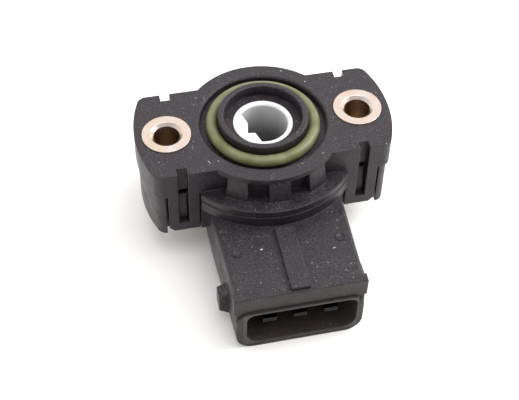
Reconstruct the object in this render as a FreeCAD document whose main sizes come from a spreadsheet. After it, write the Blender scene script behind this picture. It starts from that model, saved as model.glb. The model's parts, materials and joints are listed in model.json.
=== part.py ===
import FreeCAD, Part
import math
import os
import re
import Sketcher

# Throttle position sensor with a round flange, two fixing ears and a plug socket.
# The origin lies on the rotor axis in the mounting face, +Z points out of that face,
# X runs through both fixing bushes and the socket opens towards -Y.
# All sizes are in millimetres and degrees. A drop or a floor is a depth below the mounting face.

os.makedirs("parts", exist_ok=True)
doc = FreeCAD.newDocument("throttle_position_sensor")

SIZES = {
    # mounting flange
    "bolt_spacing": 32.0,
    "flange_rad": 12.97,
    "flange_thick": 1.0,
    # castellated ribs between flange and lid
    "rib_count": 12,
    "rib_angle": 15.0,
    "rib_foot_rad": 13.65,
    "core_rad": 11.6,
    "lid_drop": 4.7,
    "lid_rad": 15.65,
    "lid_thick": 1.3,
    # fixing ears
    "ear_margin": 5.2,
    "ear_half_width": 9.1,
    "ear_drop": 5.0,
    "ear_corner": 1.6,
    "bush_rad": 4.0,
    # snap straps that hang from the ears
    "strap_inboard": 3.7,
    "strap_outboard": 1.45,
    "strap_drop": 13.6,
    "strap_bevel": 0.9,
    "slot_inboard": 1.91,
    "slot_width": 1.64,
    "slot_depth": 1.43,
    "window_drop": 11.8,
    # centring spigot and seal recess
    "spigot_rad": 7.45,
    "spigot_bore": 6.43,
    "spigot_height": 1.6,
    "spigot_edge": 0.22,
    "recess_rad": 10.4,
    "recess_drop": 1.45,
    "recess_bevel": 0.3,
    "ring_section": 0.97,
    "seal_drop": 0.35,
    "seal_thick": 1.55,
    # bearings and inner height
    "bearing_rad": 4.95,
    "running_gap": 0.05,
    "deck_drop": 3.4,
    "cavity_rad": 9.8,
    # rotor
    "rotor_drop": 0.3,
    "bore_rad": 4.08,
    "bore_bevel": 0.27,
    "flat_reach": 2.3,
    "flat_angle": -162.3,
    "notch_depth": 1.06,
    "notch_lead": 1.05,
    "notch_peak": 0.96,
    "notch_end": 1.5,
    "thrust_rad": 5.6,
    "disc_rad": 9.1,
    "disc_drop": 4.0,
    "disc_thick": 1.0,
    "foot_rad": 5.5,
    "foot_drop": 11.2,
    # stops that limit the rotor's turn
    "stop_rad": 7.2,
    "stop_outer": 8.9,
    "stop_height": 0.5,
    "stop_angle": 90.0,
    "stop_width": 20.0,
    "stop_gap": 1.0,
    "rotor_travel": 95.0,
    # drum of the lower housing
    "drum_lip": 0.12,
    "block_drop": 8.0,
    "lower_drop": 14.1,
    "lower_inset": 0.2,
    "lower_end_inset": 0.4,
    "seam_gap": 0.2,
    "strap_gap": 0.35,
    "strap_side_gap": 0.15,
    "nose_gap": 0.15,
    "nose_drop": 6.3,
    "nose_crest": 9.4,
    "nose_reach": 0.6,
    "release_depth": 1.2,
    # plug socket
    "block_front": 29.1,
    "block_neck": 11.4,
    "block_half_front": 10.3,
    "block_half_rear": 10.9,
    "base_drop": 20.5,
    "base_round": 3.0,
    "shoulder_round": 0.7,
    "rim_lip": 0.3,
    "rim_round": 2.2,
    "band_drop": 11.55,
    "collar_proud": 0.35,
    "collar_depth": 1.4,
    "socket_shift": 0.3,
    "socket_half_width": 8.95,
    "socket_roof": 12.05,
    "floor_wall": 1.1,
    "socket_depth": 9.5,
    "socket_round": 2.4,
    "socket_top_round": 1.5,
    "key_left": 1.6,
    "key_width": 3.1,
    "key_height": 0.6,
    "key_setback": 1.2,
    "key_rear": 17.0,
    "lug_start": 21.5,
    "lug_length": 2.3,
    "lug_reach": 1.7,
    "lug_top": 12.5,
    "lug_face_top": 13.9,
    "lug_face_bottom": 17.2,
    "lug_bottom": 18.7,
    # printed plate and its room
    "plate_rad": 10.2,
    "plate_thick": 0.8,
    "plate_hole": 6.1,
    "plate_front": 8.9,
    "plate_cover": 0.4,
    "plate_gap": 0.1,
    "track_thick": 0.05,
    "outer_track_rad": 8.4,
    "outer_track_inner": 7.6,
    "inner_track_rad": 7.3,
    "inner_track_inner": 6.5,
    "track_gap_half": 2.3,
    "lead_half": 0.5,
    "pad_half": 0.75,
    "pad_length": 0.7,
    "well_rad": 6.0,
    "foot_bearing_drop": 9.0,
    "core_roof": 13.0,
    "core_wall": 1.6,
    "core_front": 9.5,
    "core_rib": 0.6,
    "rib_recess": 0.6,
    # flat seal between the housings
    "gasket_inner": 10.75,
    "gasket_outer": 11.35,
    "gasket_thick": 0.6,
    # terminals
    "pin_pitch": 5.0,
    "pin_width": 2.8,
    "pin_thick": 0.8,
    "pin_drop": 15.15,
    "pin_tip": 28.2,
    "pin_bevel": 0.35,
    "pin_bevel_length": 1.2,
    "pin_shoulder": 19.0,
    "leg_pitch": 2.8,
    "leg_width": 1.3,
    "leg_jog": 15.5,
    "leg_setback": 0.15,
    "bridge_half": 0.5,
    "bridge_thick": 0.25,
    # bushes
    "bush_bore": 2.14,
    "bush_bevel": 0.5,
    "bush_proud": 0.17,
    # brush that wipes the tracks
    "brush_thick": 0.2,
    "brush_inner": 5.8,
    "brush_outer": 8.3,
    "brush_rear": 2.4,
    "brush_front": 1.0,
    "finger_width": 0.65,
    "finger_a": 6.1,
    "finger_b": 7.25,
    "finger_touch": 2.5,
    "finger_tip": 3.1,
    "finger_lift": 0.23,
    "contact_gap": 0.02,
    "stake_rad": 0.4,
    "stake_height": 0.45,
}

sheet = doc.addObject("Spreadsheet::Sheet", "sizes")
for row, (alias, number) in enumerate(SIZES.items(), start=1):
    sheet.set(f"A{row}", alias)
    sheet.set(f"B{row}", str(number))
    sheet.setAlias(f"B{row}", alias)
doc.recompute()


# Sizes that follow from the driving ones, written as formulas over the sheet's aliases.
FORMULAS = {
    "ear_end_rad": "(bolt_spacing / 2 + ear_margin)",
    "strap_inner": "(bolt_spacing / 2 - strap_inboard)",
    "strap_outer": "(bolt_spacing / 2 + strap_outboard)",
    "slot_inner": "(bolt_spacing / 2 - slot_inboard)",
    "slot_outer": "(bolt_spacing / 2 - slot_inboard + slot_width)",
    "socket_floor": "(base_drop - floor_wall)",
    "leg_rear": "(plate_front + leg_setback)",
    "lid_floor": "(lid_drop + lid_thick)",
    "drum_rad": "(lid_rad + drum_lip)",
    "strap_face": "(ear_half_width - slot_depth)",
    "plate_top": "(lid_drop + lid_thick + plate_cover)",
    "plate_floor": "(lid_drop + lid_thick + plate_cover + plate_thick)",
    "track_top": "(lid_drop + lid_thick + plate_cover - track_thick)",
    "brush_roof": "(disc_drop + disc_thick)",
    "rim_front": "(block_front + rim_lip)",
    "well_floor": "(foot_drop + running_gap)",
}
WORD = re.compile(r"[a-z_]+[a-z]")


def formula(text):
    """Turns a formula over size names into one over the sheet's cells."""
    def cell(match):
        word = match.group(0)
        if word in FORMULAS:
            return formula(FORMULAS[word])
        return f"sizes.{word}" if word in SIZES else word
    return WORD.sub(cell, text)


def point_constraint(sketch, geometry, position, x, y):
    for kind, text in (("DistanceX", x), ("DistanceY", y)):
        index = sketch.addConstraint(Sketcher.Constraint(kind, -1, 1, geometry, position, 1.0))
        sketch.setExpression(f"Constraints[{index}]", formula(text))


def outline(sketch, points):
    """Closed straight-sided outline through points given as pairs of formulas."""
    first = sketch.GeometryCount
    count = len(points)
    ring = [FreeCAD.Vector(10 * math.cos(math.tau * k / count), 10 * math.sin(math.tau * k / count), 0)
            for k in range(count)]
    for k in range(count):
        sketch.addGeometry(Part.LineSegment(ring[k], ring[(k + 1) % count]), False)
    for k in range(count):
        sketch.addConstraint(Sketcher.Constraint("Coincident", first + k, 2, first + (k + 1) % count, 1))
    for k, (x, y) in enumerate(points):
        point_constraint(sketch, first + k, 1, x, y)


def circle(sketch, radius, x="0", y="0"):
    geometry = sketch.addGeometry(Part.Circle(FreeCAD.Vector(1, 1, 0), FreeCAD.Vector(0, 0, 1), 5), False)
    point_constraint(sketch, geometry, 3, x, y)
    index = sketch.addConstraint(Sketcher.Constraint("Radius", geometry, 5))
    sketch.setExpression(f"Constraints[{index}]", formula(radius))


def box_points(x0, x1, y0, y1):
    return [(x0, y0), (x1, y0), (x1, y1), (x0, y1)]


def polar(radius, angle, turn="0"):
    """A point by radius and angle, both formulas."""
    return (f"({radius}) * cos(({angle} + {turn}) * 1 deg)", f"({radius}) * sin(({angle} + {turn}) * 1 deg)")


def new_body(name):
    body = doc.addObject("PartDesign::Body", name)
    body.Label = name
    return body


def sketch_on(body, plane, offset, shapes):
    """Sketch on one of the body's origin planes, with each shape an outline or a circle."""
    sketch = body.newObject("Sketcher::SketchObject", f"{body.Name}_sketch")
    support = [item for item in body.Origin.OriginFeatures if item.Role == plane][0]
    sketch.AttachmentSupport = [(support, "")]
    sketch.MapMode = "FlatFace"
    sketch.setExpression("AttachmentOffset.Base.z", formula(offset))
    for shape in shapes:
        if isinstance(shape, list):
            outline(sketch, shape)
        else:
            circle(sketch, *shape)
    return sketch


def extrude(body, kind, plane, offset, length, shapes, backwards=False):
    sketch = sketch_on(body, plane, offset, shapes)
    feature = body.newObject(f"PartDesign::{kind}", f"{body.Name}_{kind.lower()}")
    feature.Profile = sketch
    feature.setExpression("Length", formula(length))
    feature.Reversed = backwards
    return feature


def slab(body, top, floor, *shapes):
    """Adds material between two depths below the mounting face."""
    return extrude(body, "Pad", "XY_Plane", f"-({floor})", f"({floor}) - ({top})", shapes)


def cut(body, top, floor, *shapes):
    """Removes material between two depths below the mounting face."""
    return extrude(body, "Pocket", "XY_Plane", f"-({top})", f"({floor}) - ({top})", shapes)


def slab_forward(body, start, length, *shapes):
    """Adds material from depth y = -start towards the front, with shapes in x and z."""
    return extrude(body, "Pad", "XZ_Plane", start, length, shapes)


def slab_sideways(body, start, length, *shapes):
    """Adds material from x = start towards +X, with shapes in y and z."""
    return extrude(body, "Pad", "YZ_Plane", start, length, shapes)


def turned(body, kind, points):
    """Revolution or groove about the Z axis of an outline in x and z."""
    sketch = sketch_on(body, "XZ_Plane", "0", [points])
    feature = body.newObject(f"PartDesign::{kind}", f"{body.Name}_{kind.lower()}")
    feature.Profile = sketch
    feature.ReferenceAxis = (sketch, ["V_Axis"])
    feature.Angle = 360
    return feature


def around_axis(body, feature, count):
    pattern = body.newObject("PartDesign::PolarPattern", f"{body.Name}_pattern")
    pattern.Originals = [feature]
    axis = [item for item in body.Origin.OriginFeatures if item.Role == "Z_Axis"][0]
    pattern.Axis = (axis, [""])
    pattern.Angle = 360
    pattern.setExpression("Occurrences", formula(count))
    body.Tip = pattern
    return pattern


def size(name):
    return float(sheet.get(name))


def rounded(body, radius, wanted):
    """Fillets the edges of the body for which wanted(edge, low corner, high corner) is true."""
    doc.recompute()
    names = []
    for number, edge in enumerate(body.Shape.Edges, start=1):
        box = edge.BoundBox
        low = FreeCAD.Vector(box.XMin, box.YMin, box.ZMin)
        high = FreeCAD.Vector(box.XMax, box.YMax, box.ZMax)
        if wanted(edge, low, high):
            names.append(f"Edge{number}")
    base = body.Tip
    fillet = body.newObject("PartDesign::Fillet", f"{body.Name}_fillet")
    fillet.Base = (base, names)
    fillet.setExpression("Radius", formula(radius))
    body.Tip = fillet
    return fillet


def near(a, b):
    return abs(a - b) < 0.01


def trim_ends(body, radius, top, floor):
    """Cuts away what lies outside a round of the given radius."""
    cut(body, top, floor, (radius,), (f"({radius}) + 5",))


def ear_corners(body, half_width):
    """Rounds the upright corners between the ear ends and their straight sides."""
    def wanted(edge, low, high):
        upright = near(low.x, high.x) and near(low.y, high.y) and high.z - low.z > 2
        return upright and near(abs(low.y), half_width) and abs(low.x) > size("bolt_spacing") / 2
    rounded(body, "ear_corner", wanted)


SIDES = (-1, 1)
BUSH_CENTRE = "bolt_spacing / 2"


def side_box(side_x, side_y, x0, x1, y0, y1):
    """Rectangle in one of the four quadrants."""
    return box_points(f"{side_x} * ({x0})", f"{side_x} * ({x1})", f"{side_y} * ({y0})", f"{side_y} * ({y1})")


def quadrants():
    return [(side_x, side_y) for side_x in SIDES for side_y in SIDES]


def build_upper_housing():
    body = new_body("upper_housing")
    turned(body, "Revolution", [("0", "-flange_thick"), ("flange_rad", "-flange_thick"),
                                ("rib_foot_rad", "-lid_drop"), ("0", "-lid_drop")])
    # Pockets between the ribs: wedges from inside the core out past the flared rib feet.
    start = "(360 / rib_count - rib_angle) / 2"
    stop = "(360 / rib_count + rib_angle) / 2"
    shallow, far = "core_rad - 0.5", "rib_foot_rad + 1"
    pocket = cut(body, "flange_thick", "lid_drop",
                 [polar(shallow, start), polar(far, start), polar(far, stop), polar(shallow, stop)])
    around_axis(body, pocket, "rib_count")
    slab(body, "flange_thick", "lid_drop", ("core_rad",))
    slab(body, "0", "flange_thick", ("flange_rad",))
    slab(body, "lid_drop", "lid_floor", ("lid_rad",))
    cut(body, "lid_drop", "lid_floor + 1",
        *[side_box(side_x, side_y, "strap_inner - strap_side_gap", "lid_rad + 2",
                   "strap_face", "lid_rad + 2") for side_x, side_y in quadrants()])
    slab(body, "0", "ear_drop",
         box_points("-ear_end_rad", "ear_end_rad", "-ear_half_width", "ear_half_width"))
    trim_ends(body, "ear_end_rad", "-0.5", "ear_drop + 0.5")
    ear_corners(body, size("ear_half_width"))
    for side_x, side_y in quadrants():
        strap = [("strap_inner", "-(ear_drop - 0.5)"), ("strap_outer", "-(ear_drop - 0.5)"),
                 ("strap_outer", "-(strap_drop - strap_bevel)"),
                 ("strap_outer - strap_bevel", "-strap_drop"), ("strap_inner", "-strap_drop")]
        strap = [(f"{side_x} * ({x})", z) for x, z in strap]
        start = "strap_face" if side_y < 0 else "-ear_half_width"
        slab_forward(body, start, "slot_depth", strap)
    cut(body, "-0.5", "window_drop",
        *[side_box(side_x, side_y, "slot_inner", "slot_outer", "strap_face", "ear_half_width + 1")
          for side_x, side_y in quadrants()])
    slab(body, "-spigot_height", "flange_thick", ("spigot_rad",))
    turned(body, "Groove", [("spigot_rad", "-recess_drop"), ("recess_rad", "-recess_drop"),
                            ("recess_rad", "-recess_bevel"), ("recess_rad + recess_bevel", "0"),
                            ("recess_rad + recess_bevel", "0.5"), ("spigot_rad", "0.5")])
    turned(body, "Groove", [("0", "spigot_height + 1"), ("spigot_bore", "spigot_height + 1"),
                            ("spigot_bore", "-(seal_drop + seal_thick)"),
                            ("bearing_rad", "-(seal_drop + seal_thick)"), ("bearing_rad", "-deck_drop"),
                            ("cavity_rad", "-deck_drop"), ("cavity_rad", "-(lid_floor + 1)"),
                            ("0", "-(lid_floor + 1)")])
    # Stop block under the deck, reached by the ends of the rotor's stop ring.
    corners = (("stop_rad + 0.3", "-stop_width / 2"), ("cavity_rad + 0.5", "-stop_width / 2"),
               ("cavity_rad + 0.5", "stop_width / 2"), ("stop_rad + 0.3", "stop_width / 2"))
    slab(body, "deck_drop - 0.2", "deck_drop + stop_height",
         [polar(radius, "stop_angle", turn) for radius, turn in corners])
    cut(body, "-0.5", "lid_floor + 1", *[("bush_rad", f"{side} * {BUSH_CENTRE}") for side in SIDES])
    rim = size("spigot_height")
    rounded(body, "spigot_edge", lambda edge, low, high: near(low.z, rim) and near(high.z, rim))
    return body


def terminal_places():
    """Names of the three places with their offsets in pitches."""
    return (("left", -1), ("centre", 0), ("right", 1))


def leg_centre(place):
    return f"(socket_shift + {place} * leg_pitch)"


def leg_box(place):
    x = leg_centre(place)
    return box_points(f"{x} - leg_width / 2", f"{x} + leg_width / 2", "-(leg_rear + pin_thick)", "-leg_rear")


def shank(place, front):
    """Strip from the given depth y = -front to the leg, with the jog to the narrower pitch."""
    pin = f"(socket_shift + {place} * pin_pitch)"
    leg = leg_centre(place)
    return [(f"{pin} - pin_width / 2", f"-({front})"), (f"{pin} + pin_width / 2", f"-({front})"),
            (f"{pin} + pin_width / 2", "-pin_shoulder"), (f"{leg} + leg_width / 2", "-leg_jog"),
            (f"{leg} + leg_width / 2", "-leg_rear"), (f"{leg} - leg_width / 2", "-leg_rear"),
            (f"{leg} - leg_width / 2", "-leg_jog"), (f"{pin} - pin_width / 2", "-pin_shoulder")]


def build_lower_housing():
    body = new_body("lower_housing")
    end_rad = "ear_end_rad - lower_end_inset"
    half = "ear_half_width - lower_inset"
    top = "ear_drop + seam_gap"
    slab(body, top, "lower_drop", box_points(f"-({end_rad})", end_rad, f"-({half})", half))
    trim_ends(body, end_rad, "ear_drop", "lower_drop + 0.5")
    ear_corners(body, size("ear_half_width") - size("lower_inset"))
    # Connector block, slightly tapered, with a round end under the drum.
    slab(body, "block_drop", "base_drop",
         [("-block_half_front", "-rim_front"), ("block_half_front", "-rim_front"),
          ("block_half_rear", "-block_neck"), ("block_half_rear", "0"), ("-block_half_rear", "0"),
          ("-block_half_rear", "-block_neck")])
    slab(body, "block_drop", "base_drop", ("block_half_rear",))
    floor_level = -size("base_drop")
    front = -size("block_front") - size("rim_lip")
    rounded(body, "base_round",
            lambda edge, low, high: near(low.z, floor_level) and near(high.z, floor_level)
            and not (near(low.y, front) and near(high.y, front)))
    shoulder_level = -size("block_drop")
    rounded(body, "shoulder_round",
            lambda edge, low, high: near(low.z, shoulder_level) and near(high.z, shoulder_level)
            and near(low.y, front) and near(high.y, -size("block_neck")))
    # Rim of the mouth: the block is set back above it, and its upper corners are rounded.
    cut(body, "block_drop - 0.5", "band_drop",
        box_points("-(block_half_rear + 2)", "block_half_rear + 2", "-(rim_front + 1)", "-block_front"))
    steps = 5
    for side in SIDES:
        arc = [polar("rim_round", f"90 * {k} / {steps}") for k in range(steps + 1)]
        corner = [(f"block_half_front - rim_round + {x}", f"{z} - band_drop - rim_round") for x, z in arc]
        corner += [("block_half_front - rim_round", "1 - band_drop"),
                   ("block_half_front + 1", "1 - band_drop"),
                   ("block_half_front + 1", "-(band_drop + rim_round)")]
        extrude(body, "Pocket", "XZ_Plane", "rim_front", "rim_lip",
                [[(f"{side} * ({x})", z) for x, z in corner]])
    cut(body, "ear_drop", "lid_floor", ("lid_rad + plate_gap",))
    slab(body, "lid_floor", "block_drop", ("drum_rad",))
    cut(body, "0", "lower_drop + 0.5",
        *[side_box(side_x, side_y, "strap_inner - strap_side_gap", "strap_outer + strap_gap",
                   "strap_face - strap_side_gap", "drum_rad + 2") for side_x, side_y in quadrants()])
    collar = "block_half_front + collar_proud"
    slab(body, "block_drop", "band_drop", box_points(f"-({collar})", collar, "-block_front",
                                                     "-(block_front - collar_depth)"))
    slab(body, "block_drop - key_height", "block_drop + 0.5",
         box_points("-key_left", "key_width - key_left", "-(block_front - key_setback)", "-key_rear"))
    for side in SIDES:
        root, face = "block_half_front - 0.5", "block_half_front + lug_reach"
        lug = [(root, "-lug_top"), (face, "-lug_face_top"),
               (face, "-lug_face_bottom"), (root, "-lug_bottom")]
        slab_forward(body, "lug_start", "lug_length", [(f"{side} * ({x})", z) for x, z in lug])
    # Mouth of the socket.
    left, right = "socket_shift - socket_half_width", "socket_shift + socket_half_width"
    extrude(body, "Pocket", "XZ_Plane", "rim_front", "socket_depth",
            [box_points(left, right, "-socket_floor", "-socket_roof")])
    socket_floor = size("base_drop") - size("floor_wall")
    for level, radius in ((-size("socket_roof"), "socket_top_round"), (-socket_floor, "socket_round")):
        rounded(body, radius,
                lambda edge, low, high, level=level: near(low.z, level) and near(high.z, level)
                and high.y - low.y > size("socket_depth") - 1 and near(low.x, high.x))
    # Room for the plate, well for the rotor and its lower bearing.
    turned(body, "Groove", [("0", "-ear_drop"), ("plate_rad + plate_gap", "-ear_drop"),
                            ("plate_rad + plate_gap", "-plate_floor"), ("well_rad", "-plate_floor"),
                            ("well_rad", "-foot_bearing_drop"),
                            ("foot_rad + running_gap", "-foot_bearing_drop"),
                            ("foot_rad + running_gap", "-well_floor"), ("0", "-well_floor")])
    cut(body, "lid_floor - 0.5", "lid_floor + gasket_thick", ("gasket_outer",), ("gasket_inner",))
    for side_x, side_y in quadrants():
        face = "strap_face - strap_side_gap"
        nose = [(f"{face} - 0.3", "-nose_drop"), (face, "-nose_drop"),
                (f"{face} + nose_reach", "-nose_crest"), (f"{face} + nose_reach", "-window_drop"),
                (f"{face} - 0.3", "-window_drop")]
        nose = [(f"{side_y} * ({y})", z) for y, z in nose]
        start = "slot_inner + nose_gap" if side_x > 0 else "-(slot_outer - nose_gap)"
        slab_sideways(body, start, "slot_outer - slot_inner - 2 * nose_gap", nose)
    # Room above each latch nose for the tool that frees the strap.
    cut(body, "ear_drop", "nose_drop",
        *[side_box(side_x, side_y, "slot_inner", "slot_outer", "strap_face - release_depth",
                   "strap_face + 0.5") for side_x, side_y in quadrants()])
    cut(body, "0", "lower_drop + 1", *[("bush_rad", f"{side} * {BUSH_CENTRE}") for side in SIDES])
    # Underside cored out behind the socket, with a cross of ribs.
    inner = "block_half_rear - core_wall"
    cut(body, "core_roof", "base_drop + 1", (inner,))
    cut(body, "core_roof", "base_drop + 1", box_points(f"-({inner})", inner, "-core_front", "0"))
    slab(body, "core_roof - 0.2", "base_drop - rib_recess",
         box_points("-core_rib", "core_rib", "-(core_front + 0.5)", f"{inner} + 0.5"))
    slab(body, "core_roof - 0.2", "base_drop - rib_recess",
         box_points(f"-({inner} + 0.5)", f"{inner} + 0.5", "-core_rib", "core_rib"))
    for _, place in terminal_places():
        cut(body, "pin_drop", "pin_drop + pin_thick", shank(place, "pin_shoulder + 1.5"))
        cut(body, "plate_floor - 1", "pin_drop + pin_thick", leg_box(place))
    return body


def build_bush(name, side):
    body = new_body(name)
    turned(body, "Revolution", [("bush_bore", "bush_proud - bush_bevel"),
                                ("bush_bore + bush_bevel", "bush_proud"), ("bush_rad", "bush_proud"),
                                ("bush_rad", "-lower_drop"), ("bush_bore + bush_bevel", "-lower_drop"),
                                ("bush_bore", "-(lower_drop - bush_bevel)")])
    body.setExpression("Placement.Base.x", formula(f"{side} * {BUSH_CENTRE}"))
    return body


def build_ring(name, inner, outer, top, floor):
    body = new_body(name)
    slab(body, top, floor, (outer,), (inner,))
    return body


def build_o_ring():
    ring = doc.addObject("Part::Torus", "o_ring")
    ring.Label = "o_ring"
    ring.setExpression("Radius1", formula("spigot_rad + ring_section + 0.02"))
    ring.setExpression("Radius2", formula("ring_section"))
    ring.setExpression("Placement.Base.z", formula("ring_section - recess_drop"))
    return ring


def stop_gap_outline():
    """Sector of the rotor's ring that leaves room for the stop block over the whole travel."""
    start = "stop_angle - stop_width / 2 - stop_gap - rotor_travel"
    span = "(rotor_travel + stop_width + 2 * stop_gap)"
    steps = 8
    outer = [polar("stop_outer + 0.6", start, f"{span} * {k} / {steps}") for k in range(steps + 1)]
    inner = [polar("stop_rad - 0.2", start, f"{span} * {k} / {steps}") for k in range(steps, -1, -1)]
    return outer + inner


def flat_point(along, across):
    """A point in the frame of the bore's flat: along its normal and across it."""
    turn = "flat_angle * 1 deg"
    return (f"({along}) * cos({turn}) - ({across}) * sin({turn})",
            f"({along}) * sin({turn}) + ({across}) * cos({turn})")


def build_rotor():
    body = new_body("rotor")
    top_rad = "bearing_rad - running_gap"
    collar_top = "deck_drop + running_gap"
    turned(body, "Revolution", [("bore_rad", "-(rotor_drop + bore_bevel)"),
                                ("bore_rad + bore_bevel", "-rotor_drop"), (top_rad, "-rotor_drop"),
                                (top_rad, f"-({collar_top})"), ("thrust_rad", f"-({collar_top})"),
                                ("thrust_rad", "-disc_drop"), ("disc_rad", "-disc_drop"),
                                ("disc_rad", "-brush_roof"), ("foot_rad", "-brush_roof"),
                                ("foot_rad", "-foot_drop"), ("bore_rad", "-foot_drop")])
    # The flat of the D-shaped bore, as a segment that fills the far side of the round bore.
    reach = "(bore_rad + 0.42)"
    half = f"acos(flat_reach / {reach}) / 1 deg"
    segment = [polar(reach, "flat_angle", f"({half}) * {k} / 5") for k in (-5, -3, -1, 1, 3, 5)]
    slab(body, "rotor_drop", "foot_drop", segment)
    cut(body, "rotor_drop - 0.5", "foot_drop + 0.5",
        [flat_point("flat_reach - 0.2", "-(notch_lead + 0.4)"), flat_point("flat_reach", "-notch_lead"),
         flat_point("flat_reach + notch_depth", "notch_peak"), flat_point("flat_reach", "notch_end"),
         flat_point("flat_reach - 0.2", "notch_end")])
    slab(body, "disc_drop - stop_height", "disc_drop + 0.1", ("stop_outer",), ("stop_rad",))
    cut(body, "disc_drop - stop_height - 0.5", "disc_drop", stop_gap_outline())
    for x in ("finger_a + finger_width / 2", "finger_b + finger_width / 2"):
        slab(body, "brush_roof - 0.1", "brush_roof + stake_height", ("stake_rad", x, "-brush_rear / 2"))
    return body


def build_wiper():
    body = new_body("wiper")
    plate = box_points("brush_inner", "brush_outer", "-brush_rear", "brush_front")
    stakes = [("stake_rad", x, "-brush_rear / 2")
              for x in ("finger_a + finger_width / 2", "finger_b + finger_width / 2")]
    slab(body, "brush_roof", "brush_roof + brush_thick", plate, *stakes)
    low = "track_top - contact_gap"
    for start in ("finger_a", "finger_b"):
        slab_sideways(body, start, "finger_width",
                      [("brush_front - 0.3", "-brush_roof"), ("brush_front", "-brush_roof"),
                       ("finger_touch", f"-({low} - brush_thick)"),
                       ("finger_tip", f"-({low} - brush_thick - finger_lift)"),
                       ("finger_tip", f"-({low} - finger_lift)"), ("finger_touch", f"-({low})"),
                       ("brush_front - 0.1", "-(brush_roof + brush_thick)"),
                       ("brush_front - 0.3", "-(brush_roof + brush_thick)")])
    return body


def build_resistor_plate():
    body = new_body("resistor_plate")
    slab(body, "plate_top", "plate_floor", ("plate_rad",), ("plate_hole",))
    cut(body, "plate_top - 0.5", "plate_floor + 0.5",
        box_points("-plate_rad - 1", "plate_rad + 1", "-plate_rad - 1", "-plate_front"))
    return body


def build_resistor_track():
    body = new_body("resistor_track")
    slab(body, "track_top", "plate_top", ("outer_track_rad",), ("outer_track_inner",))
    cut(body, "track_top - 0.5", "plate_top + 0.5",
        box_points("-track_gap_half", "track_gap_half + 2 * socket_shift", "-(outer_track_rad + 1)", "0"))
    for place in (-1, 1):
        x = leg_centre(place)
        slab(body, "track_top", "plate_top",
             box_points(f"{x} - lead_half", f"{x} + lead_half", "-(plate_front - pad_length)",
                        "-(outer_track_inner - 0.6)"))
    return body


def build_collector_track():
    body = new_body("collector_track")
    slab(body, "track_top", "plate_top", ("inner_track_rad",), ("inner_track_inner",))
    slab(body, "track_top", "plate_top",
         box_points("socket_shift - lead_half", "socket_shift + lead_half", "-(plate_front - pad_length)",
                    "-(inner_track_inner + 0.4)"))
    return body


def build_contact_pads():
    """Three silver pads at the plate's front edge, one node of separate solids."""
    pads = []
    for name, place in terminal_places():
        pad = doc.addObject("Part::Box", f"pad_{name}")
        pad.setExpression("Length", formula("2 * pad_half"))
        pad.setExpression("Width", formula("pad_length"))
        pad.setExpression("Height", formula("track_thick"))
        pad.setExpression("Placement.Base.x", formula(f"{leg_centre(place)} - pad_half"))
        pad.setExpression("Placement.Base.y", formula("-plate_front"))
        pad.setExpression("Placement.Base.z", formula("-plate_top"))
        pads.append(pad)
    group = doc.addObject("Part::Compound", "contact_pads")
    group.Label = "contact_pads"
    group.Links = pads
    return group


def build_terminal(name, place):
    body = new_body(f"terminal_{name}")
    pin = f"(socket_shift + {place} * pin_pitch)"
    blade = shank(place, "pin_tip - pin_bevel_length")
    tip = [(f"{pin} - pin_width / 2 + pin_bevel", "-pin_tip"),
           (f"{pin} + pin_width / 2 - pin_bevel", "-pin_tip")]
    slab(body, "pin_drop", "pin_drop + pin_thick", [blade[0]] + tip + blade[1:])
    slab(body, "track_top", "pin_drop + pin_thick", leg_box(place))
    return body


def build_bridge(name, place):
    body = new_body(f"bridge_{name}")
    x = leg_centre(place)
    slab(body, "track_top - bridge_thick", "track_top",
         box_points(f"{x} - bridge_half", f"{x} + bridge_half",
                    "-(leg_rear + pin_thick)", "-(plate_front - pad_length)"))
    return body


nodes = [build_upper_housing(), build_lower_housing(),
         build_bush("bush_left", -1), build_bush("bush_right", 1), build_o_ring(),
         build_ring("shaft_seal", "bearing_rad", "spigot_bore", "seal_drop", "seal_drop + seal_thick"),
         build_ring("housing_seal", "gasket_inner", "gasket_outer", "lid_floor", "lid_floor + gasket_thick"),
         build_rotor(), build_wiper(), build_resistor_plate(), build_resistor_track(),
         build_collector_track(), build_contact_pads()]
for place_name, place_number in terminal_places():
    nodes.append(build_terminal(place_name, place_number))
    nodes.append(build_bridge(place_name, place_number))
doc.recompute()

for item in doc.Objects:
    if "Invalid" in item.State or "Error" in item.State:
        raise RuntimeError(f"{item.Name} failed: {item.State}")
for node in nodes:
    shape = node.Shape
    if shape.isNull() or not shape.isValid():
        raise RuntimeError(f"{node.Label} has no valid shape")
    box = shape.BoundBox
    print(f"{node.Label}: {len(shape.Solids)} solid, {shape.Volume:.2f} mm3, "
          f"x {box.XMin:.2f} to {box.XMax:.2f}, y {box.YMin:.2f} to {box.YMax:.2f}, "
          f"z {box.ZMin:.2f} to {box.ZMax:.2f}")
for node in nodes:
    node.Shape.exportStep(f"parts/{node.Label}.step")
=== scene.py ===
# Throttle position sensor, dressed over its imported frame.
# Metres, +Z up out of the mounting face, X through the fixing holes, the socket opens towards -Y.
import json
import bpy
import numpy as np
from mathutils import Matrix, Vector


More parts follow.
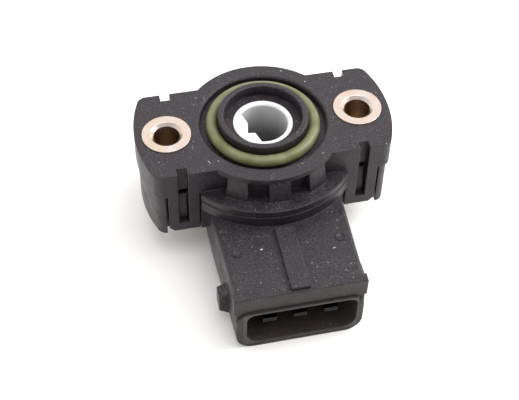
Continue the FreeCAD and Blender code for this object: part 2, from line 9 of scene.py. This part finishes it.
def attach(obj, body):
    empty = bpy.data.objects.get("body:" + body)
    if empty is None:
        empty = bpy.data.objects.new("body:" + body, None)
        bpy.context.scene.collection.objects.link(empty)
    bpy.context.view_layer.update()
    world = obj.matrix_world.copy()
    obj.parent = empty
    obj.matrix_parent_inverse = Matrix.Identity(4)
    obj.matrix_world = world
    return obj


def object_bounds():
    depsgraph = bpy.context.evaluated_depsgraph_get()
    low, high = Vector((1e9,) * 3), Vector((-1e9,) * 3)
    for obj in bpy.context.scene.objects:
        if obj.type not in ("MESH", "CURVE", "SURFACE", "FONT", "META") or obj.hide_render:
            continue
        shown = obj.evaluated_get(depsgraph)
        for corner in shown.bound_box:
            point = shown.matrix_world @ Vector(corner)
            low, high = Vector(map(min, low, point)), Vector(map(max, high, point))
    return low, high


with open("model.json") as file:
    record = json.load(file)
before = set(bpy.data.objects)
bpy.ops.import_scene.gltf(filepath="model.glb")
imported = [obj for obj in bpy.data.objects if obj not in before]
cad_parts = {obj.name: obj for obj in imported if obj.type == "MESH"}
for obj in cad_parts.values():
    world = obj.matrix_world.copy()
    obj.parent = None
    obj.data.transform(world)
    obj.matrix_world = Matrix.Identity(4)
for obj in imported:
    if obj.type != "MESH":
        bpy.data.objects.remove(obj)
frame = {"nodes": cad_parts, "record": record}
nodes = frame["nodes"]
cadBox = [list(corner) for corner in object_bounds()]
scene = bpy.context.scene
print("frame loaded:", len(nodes), "nodes")

view = {
    "place": (-0.031490, -0.131449, 0.141036),
    "right": (0.9774, -0.2108, 0.0177),
    "up": (0.1505, 0.7516, 0.6422),
    "back": (-0.1487, -0.6250, 0.7664),
    "lens": 82.516,
    "sensor": 36.0,
    "clipStart": 0.01,
}


# The camera's three axes are the columns of its matrix.
def addCamera():
    data = bpy.data.cameras.new("camera")
    data.lens = view["lens"]
    data.sensor_width = view["sensor"]
    data.clip_start = view["clipStart"]
    camera = bpy.data.objects.new("camera", data)
    turn = Matrix([Vector(view[name]).normalized() for name in ("right", "up", "back")]).transposed()
    camera.matrix_world = Matrix.Translation(view["place"]) @ turn.to_4x4()
    scene.collection.objects.link(camera)
    scene.camera = camera


studio = {
    "floorHalf": 1.5,
    "floorColour": (0.96, 0.945, 0.925, 1.0),
    "floorRoughness": 0.8,
    "skyColour": (1.0, 0.995, 0.99, 1.0),
    "skyFront": 0.48,
    "skyBack": 1.70,
    "aim": (0.0, -0.005, -0.01),
    "keyPlace": (0.30, 0.02, 0.26),
    "keySize": 0.20,
    "keyPower": 1.2,
    "topPlace": (0.05, -0.10, 0.46),
    "topSize": 0.32,
    "topPower": 0.85,
}


def addFloor(level):
    half = studio["floorHalf"]
    corners = [(-half, -half, level), (half, -half, level), (half, half, level), (-half, half, level)]
    mesh = bpy.data.meshes.new("floor")
    mesh.from_pydata(corners, [], [(0, 1, 2, 3)])
    floor = bpy.data.objects.new("floor", mesh)
    scene.collection.objects.link(floor)
    material = bpy.data.materials.new("studioFloor")
    material.use_nodes = True
    shader = material.node_tree.nodes["Principled BSDF"]
    shader.inputs["Base Color"].default_value = studio["floorColour"]
    shader.inputs["Roughness"].default_value = studio["floorRoughness"]
    mesh.materials.append(material)


def addLight(name, place, size, power):
    data = bpy.data.lights.new(name, "AREA")
    data.size = size
    data.energy = power
    light = bpy.data.objects.new(name, data)
    light.location = place
    light.rotation_euler = (Vector(studio["aim"]) - Vector(place)).to_track_quat("-Z", "Y").to_euler()
    scene.collection.objects.link(light)


# A pale tent whose brightness grows from the front to the back.
def addSky():
    world = bpy.data.worlds.new("studio")
    world.use_nodes = True
    tree = world.node_tree
    background = tree.nodes["Background"]
    background.inputs["Color"].default_value = studio["skyColour"]
    heading = tree.nodes.new("ShaderNodeTexCoord").outputs["Generated"]
    parts = tree.nodes.new("ShaderNodeSeparateXYZ")
    spread = tree.nodes.new("ShaderNodeMapRange")
    spread.inputs["From Min"].default_value = -1.0
    spread.inputs["To Min"].default_value = studio["skyFront"]
    spread.inputs["To Max"].default_value = studio["skyBack"]
    tree.links.new(heading, parts.inputs[0])
    tree.links.new(parts.outputs[1], spread.inputs["Value"])
    tree.links.new(spread.outputs[0], background.inputs["Strength"])
    scene.world = world


addCamera()
addFloor(cadBox[0][2])
addSky()
addLight("keyLight", studio["keyPlace"], studio["keySize"], studio["keyPower"])
addLight("topLight", studio["topPlace"], studio["topSize"], studio["topPower"])
scene.view_settings.view_transform = "Standard"
print("studio ready")


# A shader group with float inputs, each a name and a default, and typed outputs.
def newGroup(name, inputs, outputs):
    group = bpy.data.node_groups.new(name, "ShaderNodeTree")
    for label, value in inputs:
        socket = group.interface.new_socket(label, in_out="INPUT", socket_type="NodeSocketFloat")
        socket.default_value = value
    for label, kind in outputs:
        group.interface.new_socket(label, in_out="OUTPUT", socket_type=kind)
    return group, group.nodes.new("NodeGroupInput"), group.nodes.new("NodeGroupOutput")


# A node with its settings, whose inputs are linked to sockets or set to values.
def addNode(tree, kind, links=None, **settings):
    node = tree.nodes.new("ShaderNode" + kind)
    for name, value in settings.items():
        setattr(node, name, value)
    for key, source in (links or {}).items():
        if isinstance(source, bpy.types.NodeSocket):
            tree.links.new(source, node.inputs[key])
        else:
            node.inputs[key].default_value = source
    return node


def maths(tree, operation, first, second=0.0, third=0.0, clamp=False):
    links = {0: first, 1: second, 2: third}
    return addNode(tree, "Math", links, operation=operation, use_clamp=clamp).outputs[0]


def mixColour(tree, factor, first, second):
    node = addNode(tree, "Mix", {0: factor}, data_type="RGBA")
    for slot, source in ((6, first), (7, second)):
        if isinstance(source, bpy.types.NodeSocket):
            tree.links.new(source, node.inputs[slot])
        else:
            node.inputs[slot].default_value = (*source, 1.0)
    return node.outputs[2]


# One more layer of colour, as far as its mask and its share let it through.
def addLayer(tree, mask, share, under, colour):
    return mixColour(tree, maths(tree, "MULTIPLY", mask, share), under, colour)


dustPattern = {
    "drift": {"Scale": 260.0, "Detail": 2.0},
    "driftSteep": (3.0, -0.9),
    "sideShare": 0.3,
}


# Dust: Voronoi cells whose centre is nearer than a size that differs from cell to cell. A noise
# thins them out, and faces that look up keep the most.
def makeDustGroup():
    inputs = [("Scale", 1400.0), ("Size", 0.16), ("Amount", 0.5), ("Upward", 0.7)]
    group, entry, leave = newGroup("dust", inputs, [("Mask", "NodeSocketFloat")])
    where = addNode(group, "TexCoord").outputs["Object"]
    cells = addNode(group, "TexVoronoi", {"Vector": where, "Scale": entry.outputs["Scale"]})
    drift = addNode(group, "TexNoise", {"Vector": where, **dustPattern["drift"]}).outputs[0]
    shade = addNode(group, "SeparateColor", {0: cells.outputs["Color"]})
    size = maths(group, "MULTIPLY", entry.outputs["Size"], shade.outputs[0])
    near = maths(group, "LESS_THAN", cells.outputs["Distance"], size)
    kept = maths(group, "LESS_THAN", shade.outputs[1], entry.outputs["Amount"])
    patch = maths(group, "MULTIPLY_ADD", drift, *dustPattern["driftSteep"], clamp=True)
    facing = addNode(group, "SeparateXYZ", {0: addNode(group, "NewGeometry").outputs["Normal"]}).outputs[2]
    lift = maths(group, "MULTIPLY_ADD", facing, entry.outputs["Upward"], dustPattern["sideShare"], clamp=True)
    mask = maths(group, "MULTIPLY", maths(group, "MULTIPLY", near, kept),
                 maths(group, "MULTIPLY", patch, lift))
    group.links.new(mask, leave.inputs["Mask"])
    return group


grainPattern = {
    "fineDetail": 3.0,
    "broadDetail": 2.0,
    "fineShare": 0.75,
    "broadShare": 0.25,
    "fineSteep": (4.5, -1.9),
    "patchSteep": (3.0, -1.0),
}


# Moulded grain: fine noise over a coarser one, as a height and as patches.
def makeGrainGroup():
    values = grainPattern
    outputs = [("Height", "NodeSocketFloat"), ("Fine", "NodeSocketFloat"), ("Patch", "NodeSocketFloat")]
    group, entry, leave = newGroup("grain", [("Scale", 3500.0), ("Coarse", 600.0)], outputs)
    where = addNode(group, "TexCoord").outputs["Object"]
    fine = addNode(group, "TexNoise", {"Vector": where, "Scale": entry.outputs["Scale"],
                                       "Detail": values["fineDetail"]}).outputs[0]
    broad = addNode(group, "TexNoise", {"Vector": where, "Scale": entry.outputs["Coarse"],
                                        "Detail": values["broadDetail"]}).outputs[0]
    low = maths(group, "MULTIPLY", broad, values["broadShare"])
    height = maths(group, "MULTIPLY_ADD", fine, values["fineShare"], low)
    flecks = maths(group, "MULTIPLY_ADD", fine, *values["fineSteep"], clamp=True)
    patch = maths(group, "MULTIPLY_ADD", broad, *values["patchSteep"], clamp=True)
    group.links.new(height, leave.inputs["Height"])
    group.links.new(flecks, leave.inputs["Fine"])
    group.links.new(patch, leave.inputs["Patch"])
    return group


edgePattern = {
    "samples": 6,
    "shadeReach": 0.0006,
    "shadeSteep": (4.0, -3.0),
}


# Edges: the rounded normal, and how far it leans from the flat one, which is nought on a flat face.
# That lean makes the mask of painted highlights on convex edges; inner corners are shaded by their walls, and
# that takes them out of the mask.
def makeEdgeGroup():
    outputs = [("Mask", "NodeSocketFloat"), ("Normal", "NodeSocketVector")]
    group, entry, leave = newGroup("edge", [("Radius", 0.0002), ("Gain", 3.0)], outputs)
    rounded = addNode(group, "Bevel", {"Radius": entry.outputs["Radius"]}, samples=edgePattern["samples"])
    flat = addNode(group, "NewGeometry").outputs["Normal"]
    lean = addNode(group, "VectorMath", {0: rounded.outputs[0], 1: flat}, operation="DOT_PRODUCT")
    turned = maths(group, "SUBTRACT", 1.0, lean.outputs["Value"])
    shade = addNode(group, "AmbientOcclusion", {"Distance": edgePattern["shadeReach"]},
                    samples=edgePattern["samples"]).outputs["AO"]
    outer = maths(group, "MULTIPLY_ADD", shade, *edgePattern["shadeSteep"], clamp=True)
    worn = maths(group, "MULTIPLY", turned, entry.outputs["Gain"], clamp=True)
    group.links.new(maths(group, "MULTIPLY", worn, outer), leave.inputs["Mask"])
    group.links.new(rounded.outputs[0], leave.inputs["Normal"])
    return group


# A bore round an upright axis at x = Offset on both sides: inside its radius a depth that grows from 0
# at the top to 1 at the floor, and 0 outside. It masks the painted shade down the bores.
def makeBoreGroup():
    inputs = [("Offset", 0.0), ("Radius", 0.002), ("Top", -0.001), ("Floor", -0.01)]
    group, entry, leave = newGroup("bore", inputs, [("Depth", "NodeSocketFloat")])
    parts = addNode(group, "SeparateXYZ", {0: addNode(group, "TexCoord").outputs["Object"]}).outputs
    across = maths(group, "SUBTRACT", maths(group, "ABSOLUTE", parts[0]), entry.outputs["Offset"])
    square = maths(group, "MULTIPLY_ADD", across, across, maths(group, "MULTIPLY", parts[1], parts[1]))
    inside = maths(group, "LESS_THAN", maths(group, "SQRT", square), entry.outputs["Radius"])
    depth = addNode(group, "MapRange", {"Value": parts[2], "From Min": entry.outputs["Top"],
                                        "From Max": entry.outputs["Floor"]}).outputs[0]
    group.links.new(maths(group, "MULTIPLY", inside, depth), leave.inputs["Depth"])
    return group


# A room: 1 where the place is between its low and high corners, one axis after the other.
def makeRoomGroup():
    inputs = [(part + axis, 0.0) for part in ("Low", "High") for axis in "XYZ"]
    group, entry, leave = newGroup("room", inputs, [("Mask", "NodeSocketFloat")])
    parts = addNode(group, "SeparateXYZ", {0: addNode(group, "TexCoord").outputs["Object"]}).outputs
    mask = 1.0
    for place, axis in enumerate("XYZ"):
        above = maths(group, "GREATER_THAN", parts[place], entry.outputs["Low" + axis])
        below = maths(group, "LESS_THAN", parts[place], entry.outputs["High" + axis])
        mask = maths(group, "MULTIPLY", maths(group, "MULTIPLY", above, below), mask)
    group.links.new(mask, leave.inputs["Mask"])
    return group


groups = {"dust": makeDustGroup(), "grain": makeGrainGroup(), "edge": makeEdgeGroup(),
          "bore": makeBoreGroup(), "room": makeRoomGroup()}


def useGroup(tree, name, **values):
    node = tree.nodes.new("ShaderNodeGroup")
    node.node_tree = groups[name]
    for label, value in values.items():
        node.inputs[label].default_value = value
    return node


def useRoom(tree, room):
    values = {part + axis: corner[place] for part, corner in zip(("Low", "High"), room)
              for place, axis in enumerate("XYZ")}
    return useGroup(tree, "room", **values).outputs["Mask"]


def newMaterial(name, metallic=0.0, roughness=0.5):
    material = bpy.data.materials.new(name)
    material.use_nodes = True
    shader = material.node_tree.nodes["Principled BSDF"]
    shader.inputs["Metallic"].default_value = metallic
    shader.inputs["Roughness"].default_value = roughness
    return material, material.node_tree, shader


blackPlastic = {
    "colour": (0.0050, 0.0032, 0.0048),
    "bloomColour": (0.0120, 0.0085, 0.0124),
    "fleckColour": (0.0400, 0.0310, 0.0400),
    # painted highlight on the convex edges
    "wornColour": (0.100, 0.092, 0.095),
    # painted shade on the face round the socket's mouth
    "mouthColour": (0.0050, 0.0036, 0.0030),
    # painted light on the inside of the socket
    "socketColour": (0.046, 0.038, 0.034),
    "hazeColour": (0.085, 0.080, 0.083),
    "dustColour": (0.24, 0.235, 0.225),
    "fleckShare": 0.80,
    "wornShare": 0.4,
    "mouthShare": 0.95,
    "socketShare": 0.8,
    "hazeShare": 0.75,
    "dustShare": 0.75,
    # two corners each: the face round the socket's mouth, which gets painted shade, and the inside of the
    # socket, which gets painted light
    "mouth": ((-0.0200, -0.0300, -0.0210), (0.0200, -0.0290, -0.0079)),
    "socket": ((-0.0092, -0.0300, -0.0196), (0.0094, -0.0196, -0.0118)),
    "grain": {"Scale": 4600.0, "Coarse": 330.0},
    "edge": {"Radius": 0.00028, "Gain": 1.6},
    "coarseDust": {"Scale": 2600.0, "Size": 0.33, "Amount": 0.22, "Upward": 0.7},
    "fineDust": {"Scale": 5200.0, "Size": 0.55, "Amount": 0.42, "Upward": 0.7},
    "roughness": (0.36, 0.52),
    "specular": 0.38,
    "bump": 0.8,
    "bumpDepth": 0.0001,
}


# Glass-filled nylon: near black, mottled by fine pale flecks and a purplish bloom, with fine and
# coarse dust and painted highlights on its convex edges. Painted shade darkens and warms the face
# round the socket's mouth, and painted light brightens the inside of the socket.
def makeBlackPlastic():
    values = blackPlastic
    material, tree, shader = newMaterial("glassFilledPlastic")
    shader.inputs["Specular IOR Level"].default_value = values["specular"]
    grain = useGroup(tree, "grain", **values["grain"])
    edge = useGroup(tree, "edge", **values["edge"])
    colour = mixColour(tree, grain.outputs["Patch"], values["colour"], values["bloomColour"])
    # layers: flecks, painted edge highlights, painted shade round the mouth, painted light in the socket,
    # then dust
    layers = [("fleck", grain.outputs["Fine"]), ("worn", edge.outputs["Mask"]),
              ("mouth", useRoom(tree, values["mouth"])), ("socket", useRoom(tree, values["socket"])),
              ("haze", useGroup(tree, "dust", **values["fineDust"]).outputs["Mask"]),
              ("dust", useGroup(tree, "dust", **values["coarseDust"]).outputs["Mask"])]
    for name, mask in layers:
        colour = addLayer(tree, mask, values[name + "Share"], colour, values[name + "Colour"])
    tree.links.new(colour, shader.inputs["Base Color"])
    low, high = values["roughness"]
    tree.links.new(maths(tree, "MULTIPLY_ADD", grain.outputs["Patch"], high - low, low),
                   shader.inputs["Roughness"])
    bump = addNode(tree, "Bump", {"Height": grain.outputs["Height"], "Normal": edge.outputs["Normal"],
                                  "Strength": values["bump"], "Distance": values["bumpDepth"]})
    tree.links.new(bump.outputs[0], shader.inputs["Normal"])
    return material


bushMetal = {
    "gold": (0.58, 0.46, 0.34),
    "pale": (0.60, 0.55, 0.52),
    "rose": (0.62, 0.46, 0.45),
    # painted shade down the bore
    "boreShadeColour": (0.42, 0.31, 0.21),
    "hue": {"Scale": 300.0, "Detail": 1.0},
    "hueSteep": (3.0, -1.0),
    "veil": {"Scale": 900.0, "Detail": 3.0},
    "veilSteep": (3.0, -1.4),
    "bore": {"Offset": 0.016, "Radius": 0.0023, "Top": -0.0002, "Floor": -0.0045},
    "edge": {"Radius": 0.00018, "Gain": 2.0},
    "roughness": (0.22, 0.38),
}


# Yellow zinc plating: gold, pale and rose patches from two noises, and painted shade, darker and browner,
# down the bore.
def makeBushMetal():
    values = bushMetal
    material, tree, shader = newMaterial("zincPlating", metallic=1.0)
    where = addNode(tree, "TexCoord").outputs["Object"]
    hue = addNode(tree, "TexNoise", {"Vector": where, **values["hue"]}).outputs[0]
    veil = addNode(tree, "TexNoise", {"Vector": where, **values["veil"]}).outputs[0]
    paleMask = maths(tree, "MULTIPLY_ADD", hue, *values["hueSteep"], clamp=True)
    roseMask = maths(tree, "MULTIPLY_ADD", veil, *values["veilSteep"], clamp=True)
    toned = mixColour(tree, paleMask, values["gold"], values["pale"])
    tinted = mixColour(tree, roseMask, toned, values["rose"])
    bore = useGroup(tree, "bore", **values["bore"])
    colour = mixColour(tree, bore.outputs["Depth"], tinted, values["boreShadeColour"])
    tree.links.new(colour, shader.inputs["Base Color"])
    low, high = values["roughness"]
    tree.links.new(maths(tree, "MULTIPLY_ADD", veil, high - low, low), shader.inputs["Roughness"])
    edge = useGroup(tree, "edge", **values["edge"])
    tree.links.new(edge.outputs["Normal"], shader.inputs["Normal"])
    return material


rubberSkin = {
    "grain": {"Scale": 2600.0, "Coarse": 420.0},
    "dust": {"Scale": 2400.0, "Size": 0.3, "Upward": 0.6},
    "dustShare": 0.6,
    "roughnessSpread": 0.14,
    "bump": 0.12,
    "bumpDepth": 0.0001,
}
rubbers = {
    "green_rubber": {"name": "sageRubber", "colour": (0.098, 0.110, 0.040), "tint": (0.158, 0.170, 0.080),
                     "roughness": 0.34, "specular": 0.5, "dust": 0.10, "dustColour": (0.60, 0.60, 0.52)},
    "black_rubber": {"name": "blackRubber", "colour": (0.013, 0.010, 0.0125), "tint": (0.029, 0.023, 0.028),
                     "roughness": 0.46, "specular": 0.30, "dust": 0.34, "dustColour": (0.34, 0.33, 0.32)},
}


# Rubber: two close tones in soft patches, a little dust and a fine bump.
def makeRubber(values):
    material, tree, shader = newMaterial(values["name"])
    shader.inputs["Specular IOR Level"].default_value = values["specular"]
    grain = useGroup(tree, "grain", **rubberSkin["grain"])
    dust = useGroup(tree, "dust", Amount=values["dust"], **rubberSkin["dust"])
    mottled = mixColour(tree, grain.outputs["Patch"], values["colour"], values["tint"])
    dusty = addLayer(tree, dust.outputs["Mask"], rubberSkin["dustShare"], mottled, values["dustColour"])
    tree.links.new(dusty, shader.inputs["Base Color"])
    spread = rubberSkin["roughnessSpread"]
    tree.links.new(maths(tree, "MULTIPLY_ADD", grain.outputs["Patch"], spread, values["roughness"]),
                   shader.inputs["Roughness"])
    bump = addNode(tree, "Bump", {"Height": grain.outputs["Height"], "Strength": rubberSkin["bump"],
                                  "Distance": rubberSkin["bumpDepth"]})
    tree.links.new(bump.outputs[0], shader.inputs["Normal"])
    return material


whitePlastic = {
    "colour": (0.70, 0.705, 0.71),
    "tint": (0.80, 0.805, 0.81),
    # painted shade, greyer with depth down the bore
    "boreShadeColour": (0.215, 0.211, 0.216),
    "bore": {"Radius": 0.0043, "Top": -0.0003, "Floor": -0.0072},
    "borePower": 0.85,
    "grain": {"Scale": 1800.0, "Coarse": 300.0},
    "edge": {"Radius": 0.0002, "Gain": 1.5},
    "roughness": 0.28,
    "roughnessSpread": 0.16,
    "translucency": 0.12,
    "lightReach": (0.0005, 0.0005, 0.0006),
}


# Acetal of the rotor: near white, a little translucent, and greyed down the bore by painted shade.
def makeWhitePlastic():
    values = whitePlastic
    material, tree, shader = newMaterial("whiteAcetal")
    grain = useGroup(tree, "grain", **values["grain"])
    edge = useGroup(tree, "edge", **values["edge"])
    bore = useGroup(tree, "bore", **values["bore"])
    unshaded = mixColour(tree, grain.outputs["Patch"], values["colour"], values["tint"])
    boreShade = maths(tree, "POWER", bore.outputs["Depth"], values["borePower"])
    tree.links.new(mixColour(tree, boreShade, unshaded, values["boreShadeColour"]), shader.inputs["Base Color"])
    spread = values["roughnessSpread"]
    tree.links.new(maths(tree, "MULTIPLY_ADD", grain.outputs["Height"], spread, values["roughness"]),
                   shader.inputs["Roughness"])
    tree.links.new(edge.outputs["Normal"], shader.inputs["Normal"])
    shader.inputs["Subsurface Weight"].default_value = values["translucency"]
    shader.inputs["Subsurface Radius"].default_value = values["lightReach"]
    shader.inputs["Subsurface Scale"].default_value = 1.0
    return material


stripSkin = {
    "stretch": (4000.0, 300.0, 4000.0),
    "streak": {"Scale": 1.0, "Detail": 3.0},
    "roughnessSpread": 0.2,
    "edge": {"Radius": 0.00012, "Gain": 4.0},
}
strips = {
    "spring_metal": {"name": "springBronze", "colour": (0.62, 0.42, 0.22), "tint": (0.74, 0.55, 0.32),
                     "roughness": 0.25, "metallic": 1.0},
    "plate_ceramic": {"name": "firedCeramic", "colour": (0.62, 0.60, 0.55), "tint": (0.70, 0.68, 0.64),
                      "roughness": 0.50, "metallic": 0.0},
    "carbon_ink": {"name": "carbonInk", "colour": (0.015, 0.015, 0.016), "tint": (0.03, 0.03, 0.03),
                   "roughness": 0.40, "metallic": 0.0},
    "silver_ink": {"name": "silverInk", "colour": (0.66, 0.66, 0.64), "tint": (0.78, 0.78, 0.76),
                   "roughness": 0.35, "metallic": 1.0},
    # the terminals' near-black colour is painted shade
    "terminal_metal": {"name": "tinnedStrip", "colour": (0.013, 0.012, 0.011),
                       "tint": (0.026, 0.023, 0.021), "roughness": 0.34, "metallic": 1.0,
                       # painted highlight on the terminals' edges
                       "edgeGlintColour": (0.17, 0.16, 0.15)},
}


# Rolled or printed strip: two tones in fine streaks that run along Y, with painted highlights on the
# edges where it has a colour for them.
def makeStrip(values):
    material, tree, shader = newMaterial(values["name"], metallic=values["metallic"])
    where = addNode(tree, "TexCoord").outputs["Object"]
    stretched = addNode(tree, "Mapping", {"Vector": where, "Scale": stripSkin["stretch"]}).outputs[0]
    streak = addNode(tree, "TexNoise", {"Vector": stretched, **stripSkin["streak"]}).outputs[0]
    colour = mixColour(tree, streak, values["colour"], values["tint"])
    if "edgeGlintColour" in values:
        worn = useGroup(tree, "edge", **stripSkin["edge"]).outputs["Mask"]
        colour = mixColour(tree, worn, colour, values["edgeGlintColour"])
    tree.links.new(colour, shader.inputs["Base Color"])
    spread = stripSkin["roughnessSpread"]
    tree.links.new(maths(tree, "MULTIPLY_ADD", streak, spread, values["roughness"]),
                   shader.inputs["Roughness"])
    return material


lintFibre = {
    "colour": (0.40, 0.39, 0.37),
    "tint": (0.66, 0.65, 0.62),
    "grain": {"Scale": 6000.0, "Coarse": 1500.0},
    "roughness": 0.8,
}


# Pale fibre, mottled by the fine grain.
def makeLint():
    values = lintFibre
    material, tree, shader = newMaterial("lint", roughness=values["roughness"])
    grain = useGroup(tree, "grain", **values["grain"])
    colour = mixColour(tree, grain.outputs["Fine"], values["colour"], values["tint"])
    tree.links.new(colour, shader.inputs["Base Color"])
    return material


finishes = {"black_plastic": makeBlackPlastic(), "bush_steel": makeBushMetal(),
            "white_plastic": makeWhitePlastic()}
finishes.update((slot, makeRubber(values)) for slot, values in rubbers.items())
finishes.update((slot, makeStrip(values)) for slot, values in strips.items())
for part in frame["record"]["subparts"]:
    node = nodes[part["node"]]
    node.data.materials.clear()
    node.data.materials.append(finishes[part["material_slot"]])
print("materials ready")


# A grid of points, rows by columns, as a mesh whose columns close on themselves. The first and last
# rows are closed by one face each. The faces look out where columns run anticlockwise, seen from the
# end that the first row closes.
def gridMesh(name, points, material, smooth=True):
    rows, columns = points.shape[:2]
    start = np.arange(rows - 1)[:, None] * columns + np.arange(columns)[None, :]
    after = np.arange(rows - 1)[:, None] * columns + (np.arange(columns)[None, :] + 1) % columns
    quads = np.stack([start, start + columns, after + columns, after], axis=-1).reshape(-1, 4)
    first = list(range(columns))
    last = list(range((rows - 1) * columns, rows * columns))[::-1]
    mesh = bpy.data.meshes.new(name)
    mesh.from_pydata(points.reshape(-1, 3).tolist(), [], quads.tolist() + [first, last])
    mesh.polygons.foreach_set("use_smooth", [smooth] * len(quads) + [False, False])
    mesh.materials.append(material)
    piece = bpy.data.objects.new(name, mesh)
    scene.collection.objects.link(piece)
    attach(piece, "housing")


mouldPits = {
    "centres": ((-0.0083, -0.0200), (0.0085, -0.0199)),
    "level": -0.0080,
    "radius": 0.00095,
    "middleShare": 0.02,
    "rim": 0.00017,
    "rimPlace": 0.80,  # as shares of the radius
    "rimWidth": 0.13,
    "floorHeight": 0.000012,
    "sink": 0.00010,
    "rows": 22,
    "columns": 48,
}


# Ejector mark: a height that rises to a bell-shaped rim near the edge and falls to a flat middle,
# turned about an upright axis. Its foot is sunk in the top of the block.
def addMouldPit(index, centre):
    values = mouldPits
    columns = values["columns"]
    reach = np.linspace(values["middleShare"], 1.0, values["rows"])
    rise = values["rim"] * np.exp(-((reach - values["rimPlace"]) / values["rimWidth"]) ** 2)
    rise = rise + values["floorHeight"]
    rise[-1] = -values["sink"]
    angle = np.linspace(0, 2 * np.pi, columns, endpoint=False)
    away = values["radius"] * reach[:, None]
    points = np.stack([centre[0] + away * np.cos(angle), centre[1] + away * np.sin(angle),
                       values["level"] + np.repeat(rise[:, None], columns, axis=1)], axis=-1)
    gridMesh("mould_pit_%d" % index, points, finishes["black_plastic"])


for index, centre in enumerate(mouldPits["centres"]):
    addMouldPit(index, centre)

lint = {
    # x, y and z of the middle in mm, then length, width and turn in degrees
    "places": ((-4.41, -19.94, -8.0, 0.42, 0.26, 10), (6.97, -21.85, -8.0, 0.55, 0.12, 12),
               (-5.88, -26.28, -8.0, 0.18, 0.11, 60), (2.77, -24.07, -8.0, 0.16, 0.10, 40),
               (5.22, -24.45, -8.0, 0.15, 0.10, 20),
               (-10.30, -7.20, 0.0, 0.75, 0.09, 118), (-8.83, -7.25, 0.0, 0.30, 0.12, 150),
               (7.90, -8.85, 0.0, 0.30, 0.12, 70), (8.90, 7.60, 0.0, 0.28, 0.14, 30),
               (5.48, 10.91, 0.0, 0.45, 0.12, 160), (-9.90, 7.20, 0.0, 0.24, 0.14, 80)),
    "thickness": 0.03,
    "slopes": (0.15, 0.5, 0.85, 1.2, 1.57),
    "columns": 12,
}


# Lint and grit: low domes, a quarter ellipse carried round an oval, all in one mesh.
def addLint():
    spots = np.array(lint["places"])
    slope = np.array(lint["slopes"])
    angle = np.linspace(0, 2 * np.pi, lint["columns"], endpoint=False)
    reach, height = np.sin(slope), np.cos(slope)
    turn = np.radians(spots[:, 5])[:, None, None]
    along = spots[:, 3][:, None, None] / 2 * reach[:, None] * np.cos(angle)
    across = spots[:, 4][:, None, None] / 2 * reach[:, None] * np.sin(angle)
    x = spots[:, 0][:, None, None] + along * np.cos(turn) - across * np.sin(turn)
    y = spots[:, 1][:, None, None] + along * np.sin(turn) + across * np.cos(turn)
    z = spots[:, 2][:, None, None] + lint["thickness"] * height[:, None] + np.zeros_like(x)
    points = np.stack([x, y, z], axis=-1) / 1000
    count, rows, columns = points.shape[:3]
    ring = np.arange(columns)
    start = (np.arange(rows - 1)[:, None] * columns + ring).ravel()
    after = (np.arange(rows - 1)[:, None] * columns + (ring + 1) % columns).ravel()
    quads = np.stack([start, start + columns, after + columns, after], axis=-1)
    shift = np.arange(count)[:, None, None] * rows * columns
    caps = np.stack([ring, ring[::-1] + (rows - 1) * columns])
    faces = (quads + shift).reshape(-1, 4).tolist() + (caps + shift).reshape(-1, columns).tolist()
    mesh = bpy.data.meshes.new("dust_lint")
    mesh.from_pydata(points.reshape(-1, 3).tolist(), [], faces)
    mesh.materials.append(makeLint())
    piece = bpy.data.objects.new("dust_lint", mesh)
    scene.collection.objects.link(piece)
    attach(piece, "housing")


addLint()

keyRib = {
    "left": -0.00163,
    "right": 0.00153,
    "rear": -0.01650,
    "front": -0.02868,
    "top": -0.00737,
    "foot": -0.00815,
    "round": 0.00014,
    "innerShare": 0.3,
    "arcPoints": 5,
}


# Key rib with its soft edges: a rounded box profile in Y and Z carried along X, drawn in at both ends.
def addKeyRib():
    values = keyRib
    turn = np.linspace(0, np.pi / 2, values["arcPoints"])
    arc = values["round"]
    inner = arc * values["innerShare"]
    y = np.concatenate([[values["rear"], values["rear"]], values["front"] + arc * (1 - np.sin(turn)),
                        [values["front"]]])
    z = np.concatenate([[values["foot"], values["top"]], values["top"] - arc * (1 - np.cos(turn)),
                        [values["foot"]]])
    inset = np.array([arc, inner, 0.0, 0.0, inner, arc])
    x = np.array([values["right"], values["right"] - inner, values["right"] - arc,
                  values["left"] + arc, values["left"] + inner, values["left"]])
    low = np.minimum(z[None, :], values["top"] - inset[:, None])
    near = np.maximum(y[None, :], values["front"] + inset[:, None])
    points = np.stack([np.repeat(x[:, None], len(y), axis=1), near, low], axis=-1)
    gridMesh("key_rib", points, finishes["black_plastic"], smooth=False)


addKeyRib()
print("mould pits, lint and key rib ready")
